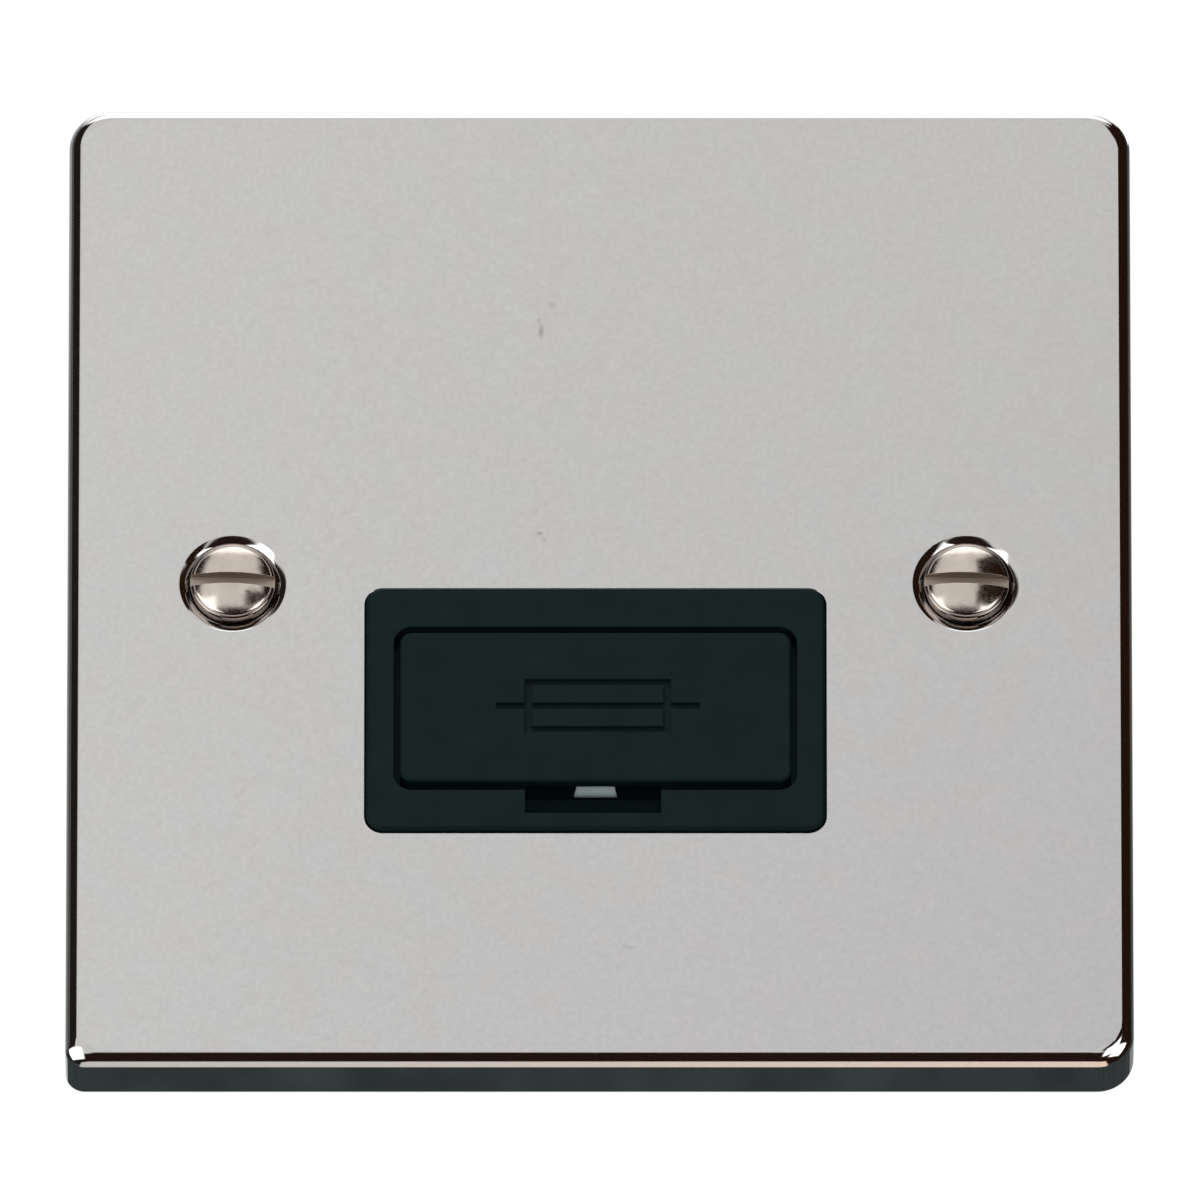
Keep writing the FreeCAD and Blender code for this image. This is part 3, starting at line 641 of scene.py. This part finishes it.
@dataclass
class Faceplate:
    """Square plate pressed from sheet, with rolled edges, two dishes and the opening for the insert."""

    look: bpy.types.Material
    size: Flat = (87.48, 87.6)
    front: float = -5.4
    sheet: float = 1.0
    corners: tuple[float, ...] = (3.5, 3.4, 1.6, 3.0)
    face_corners: tuple[float, ...] = (2.8, 2.7, 1.4, 2.6)
    face_shift: Flat = (0.05, 0.1)
    roll: PressedEdge = PressedEdge(width=1.05, depth=1.0, start=18.5, end=90.0, steps=20)
    pitch: float = SCREW_PITCH
    dish_r: float = 3.95
    dish_edge_r: float = 4.47
    lip: PressedEdge = PressedEdge(width=0.45, depth=0.1557, start=17.6, end=20.6, steps=6)
    bend: PressedEdge = PressedEdge(width=0.5893, depth=0.3771, start=20.6, end=45.0, steps=8)
    hole_r: float = 1.95
    opening_centre: Flat = (-0.34, -11.63)
    opening_size: Flat = (37.84, 22.3)
    opening_r: float = 1.5
    opening_edge: float = 0.08
    opening_bulge: float = 0.3
    crease: float = 18.0
    corner_steps: int = 16
    dish_steps: int = 96

    def outline(self, inset: float, y: float, share: float = 0.0) -> list[Vector]:
        """Outline of the plate.

        Args:
            inset: Distance from the plate's sides.
            y: Where the outline lies.
            share: 0 where it keeps its distance from the sides, up to 1 where it is the face's own edge.

        Returns:
            The outline's points.
        """
        size = (self.size[0] - 2 * inset, self.size[1] - 2 * inset)
        centre = (self.face_shift[0] * share, self.face_shift[1] * share)
        spare = [face - radius + self.roll.width for face, radius in zip(self.face_corners, self.corners)]
        radii = tuple(radius - inset + share * more for radius, more in zip(self.corners, spare))
        return rounded_outline(centre, size, radii, y, self.corner_steps)

    def opening(self, grow: float, y: float) -> list[Vector]:
        """Outline of the opening for the insert, grown by a margin."""
        size = (self.opening_size[0] + 2 * grow, self.opening_size[1] + 2 * grow)
        return rounded_outline(self.opening_centre, size, (self.opening_r + grow,) * 4, y, self.corner_steps)

    def dish(self, shell: Shell, x: float) -> tuple[Ring, Ring]:
        """Builds one dish.

        Args:
            shell: The mesh.
            x: Where the dish is.

        Returns:
            Its outer ring on the front face and its outer ring on the back face.
        """
        rings = [(self.dish_edge_r - out, self.front + back) for out, back in self.lip.section()]
        lip_r, lip_y = rings[-1]
        rings += [(lip_r - out, lip_y + back) for out, back in self.bend.section()[1:]]
        hole_y = self.front + self.dish_r - self.hole_r
        back_reach = self.sheet * math.sqrt(2)
        back_y = self.front + self.sheet
        rings.append((self.hole_r, hole_y))
        rings.append((self.hole_r, hole_y + back_reach))
        rings.append((self.hole_r + hole_y + back_reach - back_y, back_y))
        made = [shell.ring(circle(x, radius, y, self.dish_steps)) for radius, y in rings]
        shell.tube(made)
        return made[0], made[-1]

    def build(self) -> None:
        """Builds the plate and puts it in its node's place."""
        shell = Shell()
        rings = []
        for out, back in self.roll.section():
            inset = self.roll.width - out
            rings.append(shell.ring(self.outline(inset, self.front + back, inset / self.roll.width)))
        back_y = self.front + self.sheet
        rings.append(shell.ring(self.outline(0.0, 0.0)))
        rings.append(shell.ring(self.outline(self.sheet, 0.0)))
        rings.append(shell.ring(self.outline(self.sheet, back_y)))
        shell.tube(rings)
        edge = self.opening_edge
        near = edge * self.opening_bulge
        section = ((edge, self.front), (near, self.front + near), (0.0, self.front + edge), (0.0, back_y))
        punched = [shell.ring(self.opening(grow, y)) for grow, y in section]
        shell.tube(punched)
        dishes = [self.dish(shell, x) for x in (-self.pitch / 2, self.pitch / 2)]
        shell.flat([rings[0], punched[0]] + [front for front, _ in dishes])
        shell.flat([rings[-1], punched[-1]] + [back for _, back in dishes])
        piece = shell.piece("plate_pressing")
        shade(piece, self.crease)
        install(piece, "faceplate", "base", self.look)


@dataclass
class FixingScrews:
    """Two slotted raised countersunk screws with rolled threads."""

    look: bpy.types.Material
    pitch: float = SCREW_PITCH
    head_r: float = 3.5
    seat_y: float = -5.0207
    side_y: float = -5.55
    rim_r: float = 0.35
    crown_y: float = -6.55
    ball_r: float = 8.6
    shoulder_r: float = 2.95
    shoulder_steps: int = 6
    neck_r: float = 1.5
    neck_y: float = -3.0207
    thread_r: float = 1.75
    thread_root: float = 1.42
    thread_y: float = -1.2
    thread_pitch: float = 0.7
    thread_crest: float = 1.35
    thread_flank: float = 3.2
    tip_y: float = 19.6
    tip_bevel: float = 0.5
    slot_w: float = SLOT_W
    slot_d: float = 1.1
    slot_tilt: float = SLOT_TILT
    cutter_length: float = 10.5
    cutter_past: float = 1.0
    crease: float = 24.0
    steps: int = 72
    dome_steps: int = 14
    rim_steps: int = 8
    rings_per_turn: int = 8

    def head(self) -> list[Flat]:
        """Radius and Y of the head's rings, from near the crown to the shank."""
        edge_r = self.head_r - self.rim_r
        half = math.asin(self.shoulder_r / self.ball_r)
        profile = []
        for step in range(1, self.dome_steps + 1):
            angle = half * step / self.dome_steps
            back = self.ball_r * (1 - math.cos(angle))
            profile.append((self.ball_r * math.sin(angle), self.crown_y + back))
        top_r, top_y = profile[-1]
        width = edge_r - top_r
        depth = self.side_y - self.rim_r - top_y
        end = 2 * math.degrees(math.atan(depth / width)) - math.degrees(half)
        shoulder = PressedEdge(width, depth, math.degrees(half), end, self.shoulder_steps)
        profile += [(top_r + out, top_y + back) for out, back in shoulder.section()[1:]]
        for step in range(1, self.rim_steps + 1):
            angle = math.pi / 2 * step / self.rim_steps
            proud = self.rim_r * math.cos(angle)
            profile.append((edge_r + self.rim_r * math.sin(angle), self.side_y - proud))
        profile.append((self.head_r, self.seat_y))
        profile.append((self.neck_r, self.neck_y))
        profile.append((self.neck_r, self.thread_y))
        return profile

    def thread(self) -> list[list[Vector]]:
        """Rings of the thread, whose radius follows a helix."""
        rings = []
        length = self.tip_y - self.thread_y
        count = int(length / self.thread_pitch * self.rings_per_turn)
        for index in range(count + 1):
            y = self.thread_y + length * index / count
            start = min(1.0, (y - self.thread_y) / self.thread_pitch)
            limit = self.thread_r - max(0.0, y - self.tip_y + self.tip_bevel)
            ring = []
            for step in range(self.steps):
                turn = step / self.steps
                phase = (y / self.thread_pitch - turn) % 1.0
                crest = min(1.0, max(0.0, self.thread_crest - self.thread_flank * abs(phase - 0.5)))
                radius = self.thread_root + (self.thread_r - self.thread_root) * crest * start
                angle = 2 * math.pi * turn
                radius = min(radius, limit)
                ring.append(Vector((radius * math.cos(angle), y, radius * math.sin(angle))))
            rings.append(ring)
        return rings

    def build_one(self, side: int, name: str, node: str, body: str) -> None:
        """Builds one screw.

        Args:
            side: -1 for the left screw and 1 for the right one.
            name: Name of the piece.
            node: The node that it stands for.
            body: The body that it rides on.
        """
        x = side * self.pitch / 2
        shift = Vector((x, 0.0, 0.0))
        shell = Shell()
        rings = [shell.ring(circle(x, radius, y, self.steps)) for radius, y in self.head()]
        rings += [shell.ring([point + shift for point in ring]) for ring in self.thread()]
        shell.tube(rings)
        shell.fan(rings[0], Vector((x, self.crown_y, 0.0)))
        shell.fan(rings[-1], Vector((x, self.tip_y, 0.0)))
        piece = shell.piece(name)
        size = (self.cutter_length, self.slot_w)
        outline = bar_outline((x, 0.0), size, math.radians(self.slot_tilt))
        start = self.crown_y - self.cutter_past
        cut(piece, prism(outline, start, self.crown_y + self.slot_d, "slot_cutter"))
        shade(piece, self.crease)
        install(piece, node, body, self.look)

    def build(self) -> None:
        """Builds both screws."""
        self.build_one(-1, "left_fixing_screw", "fixing_screw_left", "screw_left")
        self.build_one(1, "right_fixing_screw", "fixing_screw_right", "screw_right")


@dataclass
class CarrierDoor:
    """Pull-out fuse carrier, with the drawing symbol of a fuse cut into its door."""

    look: bpy.types.Material
    centre: Flat = (-0.15, -11.45)
    face_y: float = -5.9
    depth: float = 0.42
    body_size: Flat = (12.0, 4.9)
    length: float = 16.7
    stroke: float = 0.6
    weld: float = 0.001
    flat_degrees: float = 0.5
    cutter_past: float = 1.0

    def bars(self) -> list[tuple[Flat, Flat]]:
        """Centre and size of each bar of the symbol: a rectangle and the wire through it."""
        x, z = self.centre
        width, height = self.body_size
        across = (width - self.stroke) / 2
        up = (height - self.stroke) / 2
        return [
            ((x, z + up), (width, self.stroke)),
            ((x, z - up), (width, self.stroke)),
            ((x - across, z), (self.stroke, height)),
            ((x + across, z), (self.stroke, height)),
            ((x, z), (self.length, self.stroke)),
        ]

    def build(self) -> None:
        """Copies the carrier's form, cuts the symbol and puts it in the node's place."""
        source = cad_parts["fuse_carrier"]
        mesh = bmesh.new()
        mesh.from_mesh(source.data)
        bmesh.ops.remove_doubles(mesh, verts=mesh.verts[:], dist=self.weld * MM)
        limit = math.radians(self.flat_degrees)
        bmesh.ops.dissolve_limit(mesh, angle_limit=limit, verts=mesh.verts[:], edges=mesh.edges[:])
        piece = add_piece(mesh, "pull_out_carrier")
        start = self.face_y - self.cutter_past
        for centre, size in self.bars():
            outline = bar_outline(centre, size)
            cut(piece, prism(outline, start, self.face_y + self.depth, "bar_cutter"))
        shade(piece)
        install(piece, "fuse_carrier", "carrier", self.look)


@dataclass
class CarriedOver:
    """Nodes whose shape is right already, and the material that each one gets."""

    looks: dict[Finish, bpy.types.Material]

    def finish_of(self, node: str) -> Finish:
        """Chooses the finish of a node.

        Args:
            node: Name of the node.

        Returns:
            The finish.
        """
        if node == "front_moulding":
            return Finish.BLACK
        if node == "rear_housing":
            return Finish.REAR
        if node == "fuse_ceramic":
            return Finish.CERAMIC
        if node.startswith(("fuse_cap", "fuse_clip")):
            return Finish.NICKEL
        if node.endswith("_terminal") or node in ("neutral_link", "earth_strap"):
            return Finish.BRASS
        return Finish.STEEL

    def build(self) -> None:
        """Dresses every node that no piece stands for."""
        for name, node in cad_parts.items():
            if node.hide_render:
                continue
            finish = self.finish_of(name)
            if not node.material_slots:
                node.data.materials.append(None)
            for material_slot in node.material_slots:
                material_slot.material = self.looks[finish]
            LOG.info("%s: %s", name, finish.value)


def heading(azimuth: float, elevation: float) -> Vector:
    """Direction of an azimuth to the right of the front and an elevation, both in degrees."""
    turn = math.radians(azimuth)
    rise = math.radians(elevation)
    flat = math.cos(rise)
    return Vector((math.sin(turn) * flat, -math.cos(turn) * flat, math.sin(rise)))


@dataclass(frozen=True)
class SkyPatch:
    """Part of a sphere round the object."""

    azimuth: Flat
    elevation: Flat
    radius: float = 1.5

    def place(self, across: float, up: float) -> Vector:
        """Point at a share of the width and of the height, in metres."""
        azimuth = self.azimuth[0] + (self.azimuth[1] - self.azimuth[0]) * across
        elevation = self.elevation[0] + (self.elevation[1] - self.elevation[0]) * up
        return heading(azimuth, elevation) * self.radius


@dataclass(frozen=True)
class Sheet:
    """Flat sheet near the object, by its lower left, lower right and upper left corner in millimetres."""

    start: Place
    right: Place
    upper: Place

    def place(self, across: float, up: float) -> Vector:
        """Point at a share of the width and of the height, in metres."""
        start = Vector(self.start)
        return (start + (Vector(self.right) - start) * across + (Vector(self.upper) - start) * up) * MM


@dataclass(frozen=True)
class Card:
    """Card that only shows in reflections. It fades out at its border.

    It has one tone, a left and a right one, or one for each corner, the two lower ones first.
    """

    name: str
    form: SkyPatch | Sheet
    tones: tuple[Colour, ...]
    strength: float = 1.0
    soft: float = 0.04
    mottle: float = 0.0

    def fade(self, across: float, up: float) -> float:
        """How much of the card is left at a point: 1 inside, falling to 0 at the border."""
        return max(0.0, min(1.0, min(across, 1 - across, up, 1 - up) / self.soft))

    def tone(self, across: float, up: float) -> Vector:
        """Tone at a point."""
        corners = [Vector(tone) for tone in self.tones * (4 // len(self.tones))]
        lower = corners[0].lerp(corners[1], across)
        upper = corners[2].lerp(corners[3], across)
        return lower.lerp(upper, up) * self.strength


WHITE = ((1.0, 1.0, 1.0),)
DARK_LEFT = ((0.022, 0.017, 0.014),)
DARK_RIGHT = ((0.024, 0.011, 0.006),)
CARDS = (
    Card("softbox", SkyPatch((-62, 62), (58, 148)), WHITE, strength=2.4),
    Card("left_flag", SkyPatch((-81, -35), (-3, 62)), DARK_LEFT),
    Card("left_flag_low", SkyPatch((-104, -17), (-71, 2), 1.52), DARK_LEFT),
    Card("left_side", SkyPatch((-182, -78), (-20, 60), 1.6), ((0.78, 0.80, 0.79), (0.02, 0.02, 0.02))),
    Card("left_side_top", SkyPatch((-182, -92), (26, 60), 0.25), ((0.50, 0.52, 0.53),), soft=0.1),
    Card("right_flag", Sheet((65, -165, -20), (180, -5, -20), (65, -165, 190)), DARK_RIGHT),
    Card("right_flag_far", SkyPatch((33, 96), (-9, 66)), DARK_RIGHT),
    Card("right_flag_low", SkyPatch((14, 112), (-71, -2), 1.52), DARK_RIGHT),
    Card("right_side", SkyPatch((86, 182), (-20, 60), 1.6), ((0.02, 0.02, 0.02), (0.36, 0.37, 0.36))),
    Card("front_below", SkyPatch((-25, 25), (-72, -5)), ((0.026, 0.012, 0.010),)),
    Card(
        "table",
        Sheet((-80, -58, -120), (80, -58, -120), (-80, 51, -120)),
        ((0.74, 0.82, 0.84), (1.48, 1.12, 0.92)),
    ),
    Card(
        "behind_below",
        SkyPatch((95, 265), (-70, 3), 0.2),
        ((0.0515, 0.0620, 0.0650),),
        soft=0.02,
        mottle=0.35,
    ),
    Card("left_kicker", SkyPatch((-76, -20), (-34, 6), 0.52), WHITE, strength=2.4, soft=0.06),
    Card(
        "right_kicker",
        Sheet((119, -327, -203), (244, -327, -110), (119, -327, -33)),
        WHITE,
        strength=2.4,
        soft=0.06,
    ),
    Card("right_kicker_far", SkyPatch((30, 63), (-32, -2), 0.6), WHITE, strength=2.4, soft=0.06),
    Card("right_shade", SkyPatch((11, 42), (-6, 12), 1.3), DARK_RIGHT, soft=0.06),
    Card("front_wide", SkyPatch((-36, 34), (-9, 60), 1.49), ((0.97, 0.965, 0.96), (0.93, 0.925, 0.92))),
    Card(
        "front_card",
        SkyPatch((-6.2, 6.2), (20.7, 32.1), 1.45),
        ((1.104, 1.139, 1.141), (0.692, 0.674, 0.746), (1.050, 1.024, 1.003), (0.994, 0.993, 0.951)),
        soft=0.25,
    ),
)


@dataclass(frozen=True)
class Lamp:
    """Square lamp that lights matt surfaces only.

    Its direction is in degrees to the right of the front and above the horizon, its distance and side are in
    metres and its power is in watts.
    """

    name: str
    azimuth: float
    elevation: float
    distance: float
    side: float
    power: float

    def hang(self) -> None:
        """Hangs the lamp, turned towards the object."""
        data = bpy.data.lights.new(self.name, "AREA")
        data.shape = "SQUARE"
        data.size = self.side
        data.energy = self.power
        made = bpy.data.objects.new(self.name, data)
        towards = heading(self.azimuth, self.elevation)
        made.location = towards * self.distance
        made.rotation_euler = towards.to_track_quat("Z", "Y").to_euler()
        made.visible_glossy = False
        made.visible_camera = False
        bpy.context.scene.collection.objects.link(made)


LAMPS = (
    Lamp("key", azimuth=-25.0, elevation=50.0, distance=2.0, side=1.2, power=30.0),
    Lamp("fill", azimuth=0.0, elevation=VIEW_ELEVATION, distance=4.0, side=0.4, power=72.0),
)


@dataclass
class Studio:
    """Camera, lamps, cards, floor and the pale surroundings."""

    lens: float = 1650.0
    sensor: float = 36.0
    clip: Flat = (0.1, 20.0)
    target: Place = (0.033, -5.4, -1.505)
    distance: float = 4.519
    floor_z: float = -7.0
    floor_half: float = 20.0
    floor_tone: float = 0.85
    floor_roughness: float = 0.9
    sky_light: float = 0.6
    card_steps: int = 40
    mottle_scale: float = 260.0

    def card_material(self) -> bpy.types.Material:
        """Material of all cards: it glows in each point's tone and lets light through where it fades."""
        material = bpy.data.materials.new("card_light")
        material.use_nodes = True
        tree = material.node_tree
        tree.nodes.clear()
        values = {}
        for name in ("share", "tone", "mottle"):
            values[name] = tree.nodes.new("ShaderNodeAttribute")
            values[name].attribute_name = name
        place = tree.nodes.new("ShaderNodeTexCoord")
        blotches = tree.nodes.new("ShaderNodeTexNoise")
        blotches.inputs["Scale"].default_value = self.mottle_scale
        tree.links.new(place.outputs["Object"], blotches.inputs["Vector"])
        ranged = tree.nodes.new("ShaderNodeMapRange")
        ranged.inputs["From Min"].default_value = NOISE_RANGE[0]
        ranged.inputs["From Max"].default_value = NOISE_RANGE[1]
        ranged.inputs["To Min"].default_value = -1.0
        tree.links.new(blotches.outputs["Fac"], ranged.inputs["Value"])
        level = tree.nodes.new("ShaderNodeMath")
        level.operation = "MULTIPLY_ADD"
        level.inputs[2].default_value = 1.0
        tree.links.new(ranged.outputs["Result"], level.inputs[0])
        tree.links.new(values["mottle"].outputs["Fac"], level.inputs[1])
        glow = tree.nodes.new("ShaderNodeEmission")
        tree.links.new(values["tone"].outputs["Color"], glow.inputs["Color"])
        tree.links.new(level.outputs[0], glow.inputs["Strength"])
        clear = tree.nodes.new("ShaderNodeBsdfTransparent")
        blend = tree.nodes.new("ShaderNodeMixShader")
        tree.links.new(values["share"].outputs["Fac"], blend.inputs["Fac"])
        tree.links.new(clear.outputs["BSDF"], blend.inputs[1])
        tree.links.new(glow.outputs["Emission"], blend.inputs[2])
        out = tree.nodes.new("ShaderNodeOutputMaterial")
        tree.links.new(blend.outputs["Shader"], out.inputs["Surface"])
        material.cycles.emission_sampling = "NONE"
        return material

    def hang_card(self, card: Card, material: bpy.types.Material) -> None:
        """Hangs a card.

        Args:
            card: The card.
            material: Its material.
        """
        shares = [step / self.card_steps for step in range(self.card_steps + 1)]
        mesh = bmesh.new()
        share = mesh.verts.layers.float.new("share")
        mottle = mesh.verts.layers.float.new("mottle")
        tone = mesh.verts.layers.float_vector.new("tone")
        grid = []
        for across in shares:
            row = []
            for up in shares:
                vertex = mesh.verts.new(card.form.place(across, up))
                vertex[share] = card.fade(across, up)
                vertex[mottle] = card.mottle
                vertex[tone] = card.tone(across, up)
                row.append(vertex)
            grid.append(row)
        for first, second in zip(grid, grid[1:]):
            for a, b, c, d in zip(first, first[1:], second[1:], second):
                mesh.faces.new((a, b, c, d))
        made = add_piece(mesh, card.name)
        made.data.materials.append(material)
        made.visible_camera = False
        made.visible_diffuse = False
        made.visible_transmission = False
        made.visible_volume_scatter = False
        made.visible_shadow = False

    def surroundings(self) -> None:
        """Sets the world: white where it is seen or mirrored, softer as a lamp."""
        world = bpy.data.worlds.new("studio")
        bpy.context.scene.world = world
        world.use_nodes = True
        tree = world.node_tree
        tree.nodes.clear()
        path = tree.nodes.new("ShaderNodeLightPath")
        seen = self.seen_share(tree, path)
        level = tree.nodes.new("ShaderNodeMapRange")
        level.inputs["To Min"].default_value = self.sky_light
        level.inputs["To Max"].default_value = 1.0
        tree.links.new(seen, level.inputs["Value"])
        sky = tree.nodes.new("ShaderNodeBackground")
        sky.inputs["Color"].default_value = (1.0, 1.0, 1.0, 1.0)
        tree.links.new(level.outputs["Result"], sky.inputs["Strength"])
        out = tree.nodes.new("ShaderNodeOutputWorld")
        tree.links.new(sky.outputs["Background"], out.inputs["Surface"])

    def seen_share(self, tree: bpy.types.NodeTree, path: bpy.types.Node) -> Socket:
        """One for camera, glossy and transmission rays, and nought for the rest.

        Args:
            tree: The node tree.
            path: Its light path node.

        Returns:
            The share.
        """
        total = path.outputs["Is Camera Ray"]
        for name in ("Is Glossy Ray", "Is Transmission Ray"):
            larger = tree.nodes.new("ShaderNodeMath")
            larger.operation = "MAXIMUM"
            tree.links.new(total, larger.inputs[0])
            tree.links.new(path.outputs[name], larger.inputs[1])
            total = larger.outputs[0]
        return total

    def floor(self) -> None:
        """Lays a plain pale floor far below the object."""
        mesh = bmesh.new()
        half = self.floor_half
        mesh.faces.new([mesh.verts.new((x * half, y * half, self.floor_z)) for x, y in QUARTERS])
        made = add_piece(mesh, "floor")
        material = bpy.data.materials.new("pale_floor")
        material.use_nodes = True
        tree = material.node_tree
        matt = tree.nodes["Principled BSDF"]
        matt.inputs["Base Color"].default_value = (*(self.floor_tone,) * 3, 1.0)
        matt.inputs["Roughness"].default_value = self.floor_roughness
        white = tree.nodes.new("ShaderNodeEmission")
        blend = tree.nodes.new("ShaderNodeMixShader")
        path = tree.nodes.new("ShaderNodeLightPath")
        tree.links.new(self.seen_share(tree, path), blend.inputs["Fac"])
        tree.links.new(matt.outputs["BSDF"], blend.inputs[1])
        tree.links.new(white.outputs["Emission"], blend.inputs[2])
        tree.links.new(blend.outputs["Shader"], tree.nodes["Material Output"].inputs["Surface"])
        made.data.materials.append(material)

    def camera(self) -> None:
        """Sets up the camera below the plate's normal, far away with a long lens."""
        data = bpy.data.cameras.new("camera")
        data.lens = self.lens
        data.sensor_width = self.sensor
        data.clip_start, data.clip_end = self.clip
        made = bpy.data.objects.new("camera", data)
        towards = heading(0.0, VIEW_ELEVATION)
        made.location = Vector(self.target) * MM + towards * self.distance
        made.rotation_euler = towards.to_track_quat("Z", "Y").to_euler()
        bpy.context.scene.collection.objects.link(made)
        bpy.context.scene.camera = made

    def build(self) -> None:
        """Sets up the whole studio."""
        self.camera()
        self.surroundings()
        self.floor()
        light = self.card_material()
        for card in CARDS:
            self.hang_card(card, light)
        for lamp in LAMPS:
            lamp.hang()
        bpy.context.scene.view_settings.view_transform = "Standard"


def looks() -> dict[Finish, bpy.types.Material]:
    """Makes the material of each finish."""
    black = Moulded(
        "black_plastic", (0.0036, 0.0086, 0.0090), (0.0046, 0.0104, 0.0108), roughness=0.42, specular=0.06
    )
    rear = Moulded(
        "rear_plastic", (0.014, 0.015, 0.016), (0.019, 0.020, 0.021), roughness=0.5, specular=0.3
    )
    ceramic = Moulded(
        "glazed_ceramic", (0.74, 0.88, 0.92), (0.80, 0.94, 0.98), roughness=0.28, specular=0.5
    )
    brass = Metal("drawn_brass", (0.72, 0.50, 0.21), (0.60, 0.38, 0.15), roughness=0.28)
    nickel = Metal("nickel_plate", (0.62, 0.58, 0.50), (0.55, 0.51, 0.44), roughness=0.22)
    steel = Metal("zinc_plated_steel", (0.62, 0.63, 0.63), (0.52, 0.51, 0.47), roughness=0.30)
    return {
        Finish.PLATE: Chrome().material(),
        Finish.SCREWS: ScrewSteel().material(),
        Finish.BLACK: black.material(),
        Finish.REAR: rear.material(),
        Finish.CERAMIC: ceramic.material(),
        Finish.BRASS: brass.material(),
        Finish.NICKEL: nickel.material(),
        Finish.STEEL: steel.material(),
    }


def main() -> None:
    """Builds the studio and every piece."""
    logging.basicConfig(level=logging.INFO, format="%(name)s: %(message)s")
    Studio().build()
    finishes = looks()
    Faceplate(finishes[Finish.PLATE]).build()
    FixingScrews(finishes[Finish.SCREWS]).build()
    CarrierDoor(finishes[Finish.BLACK]).build()
    CarriedOver(finishes).build()
    bpy.context.view_layer.update()


if __name__ == "__main__":
    main()
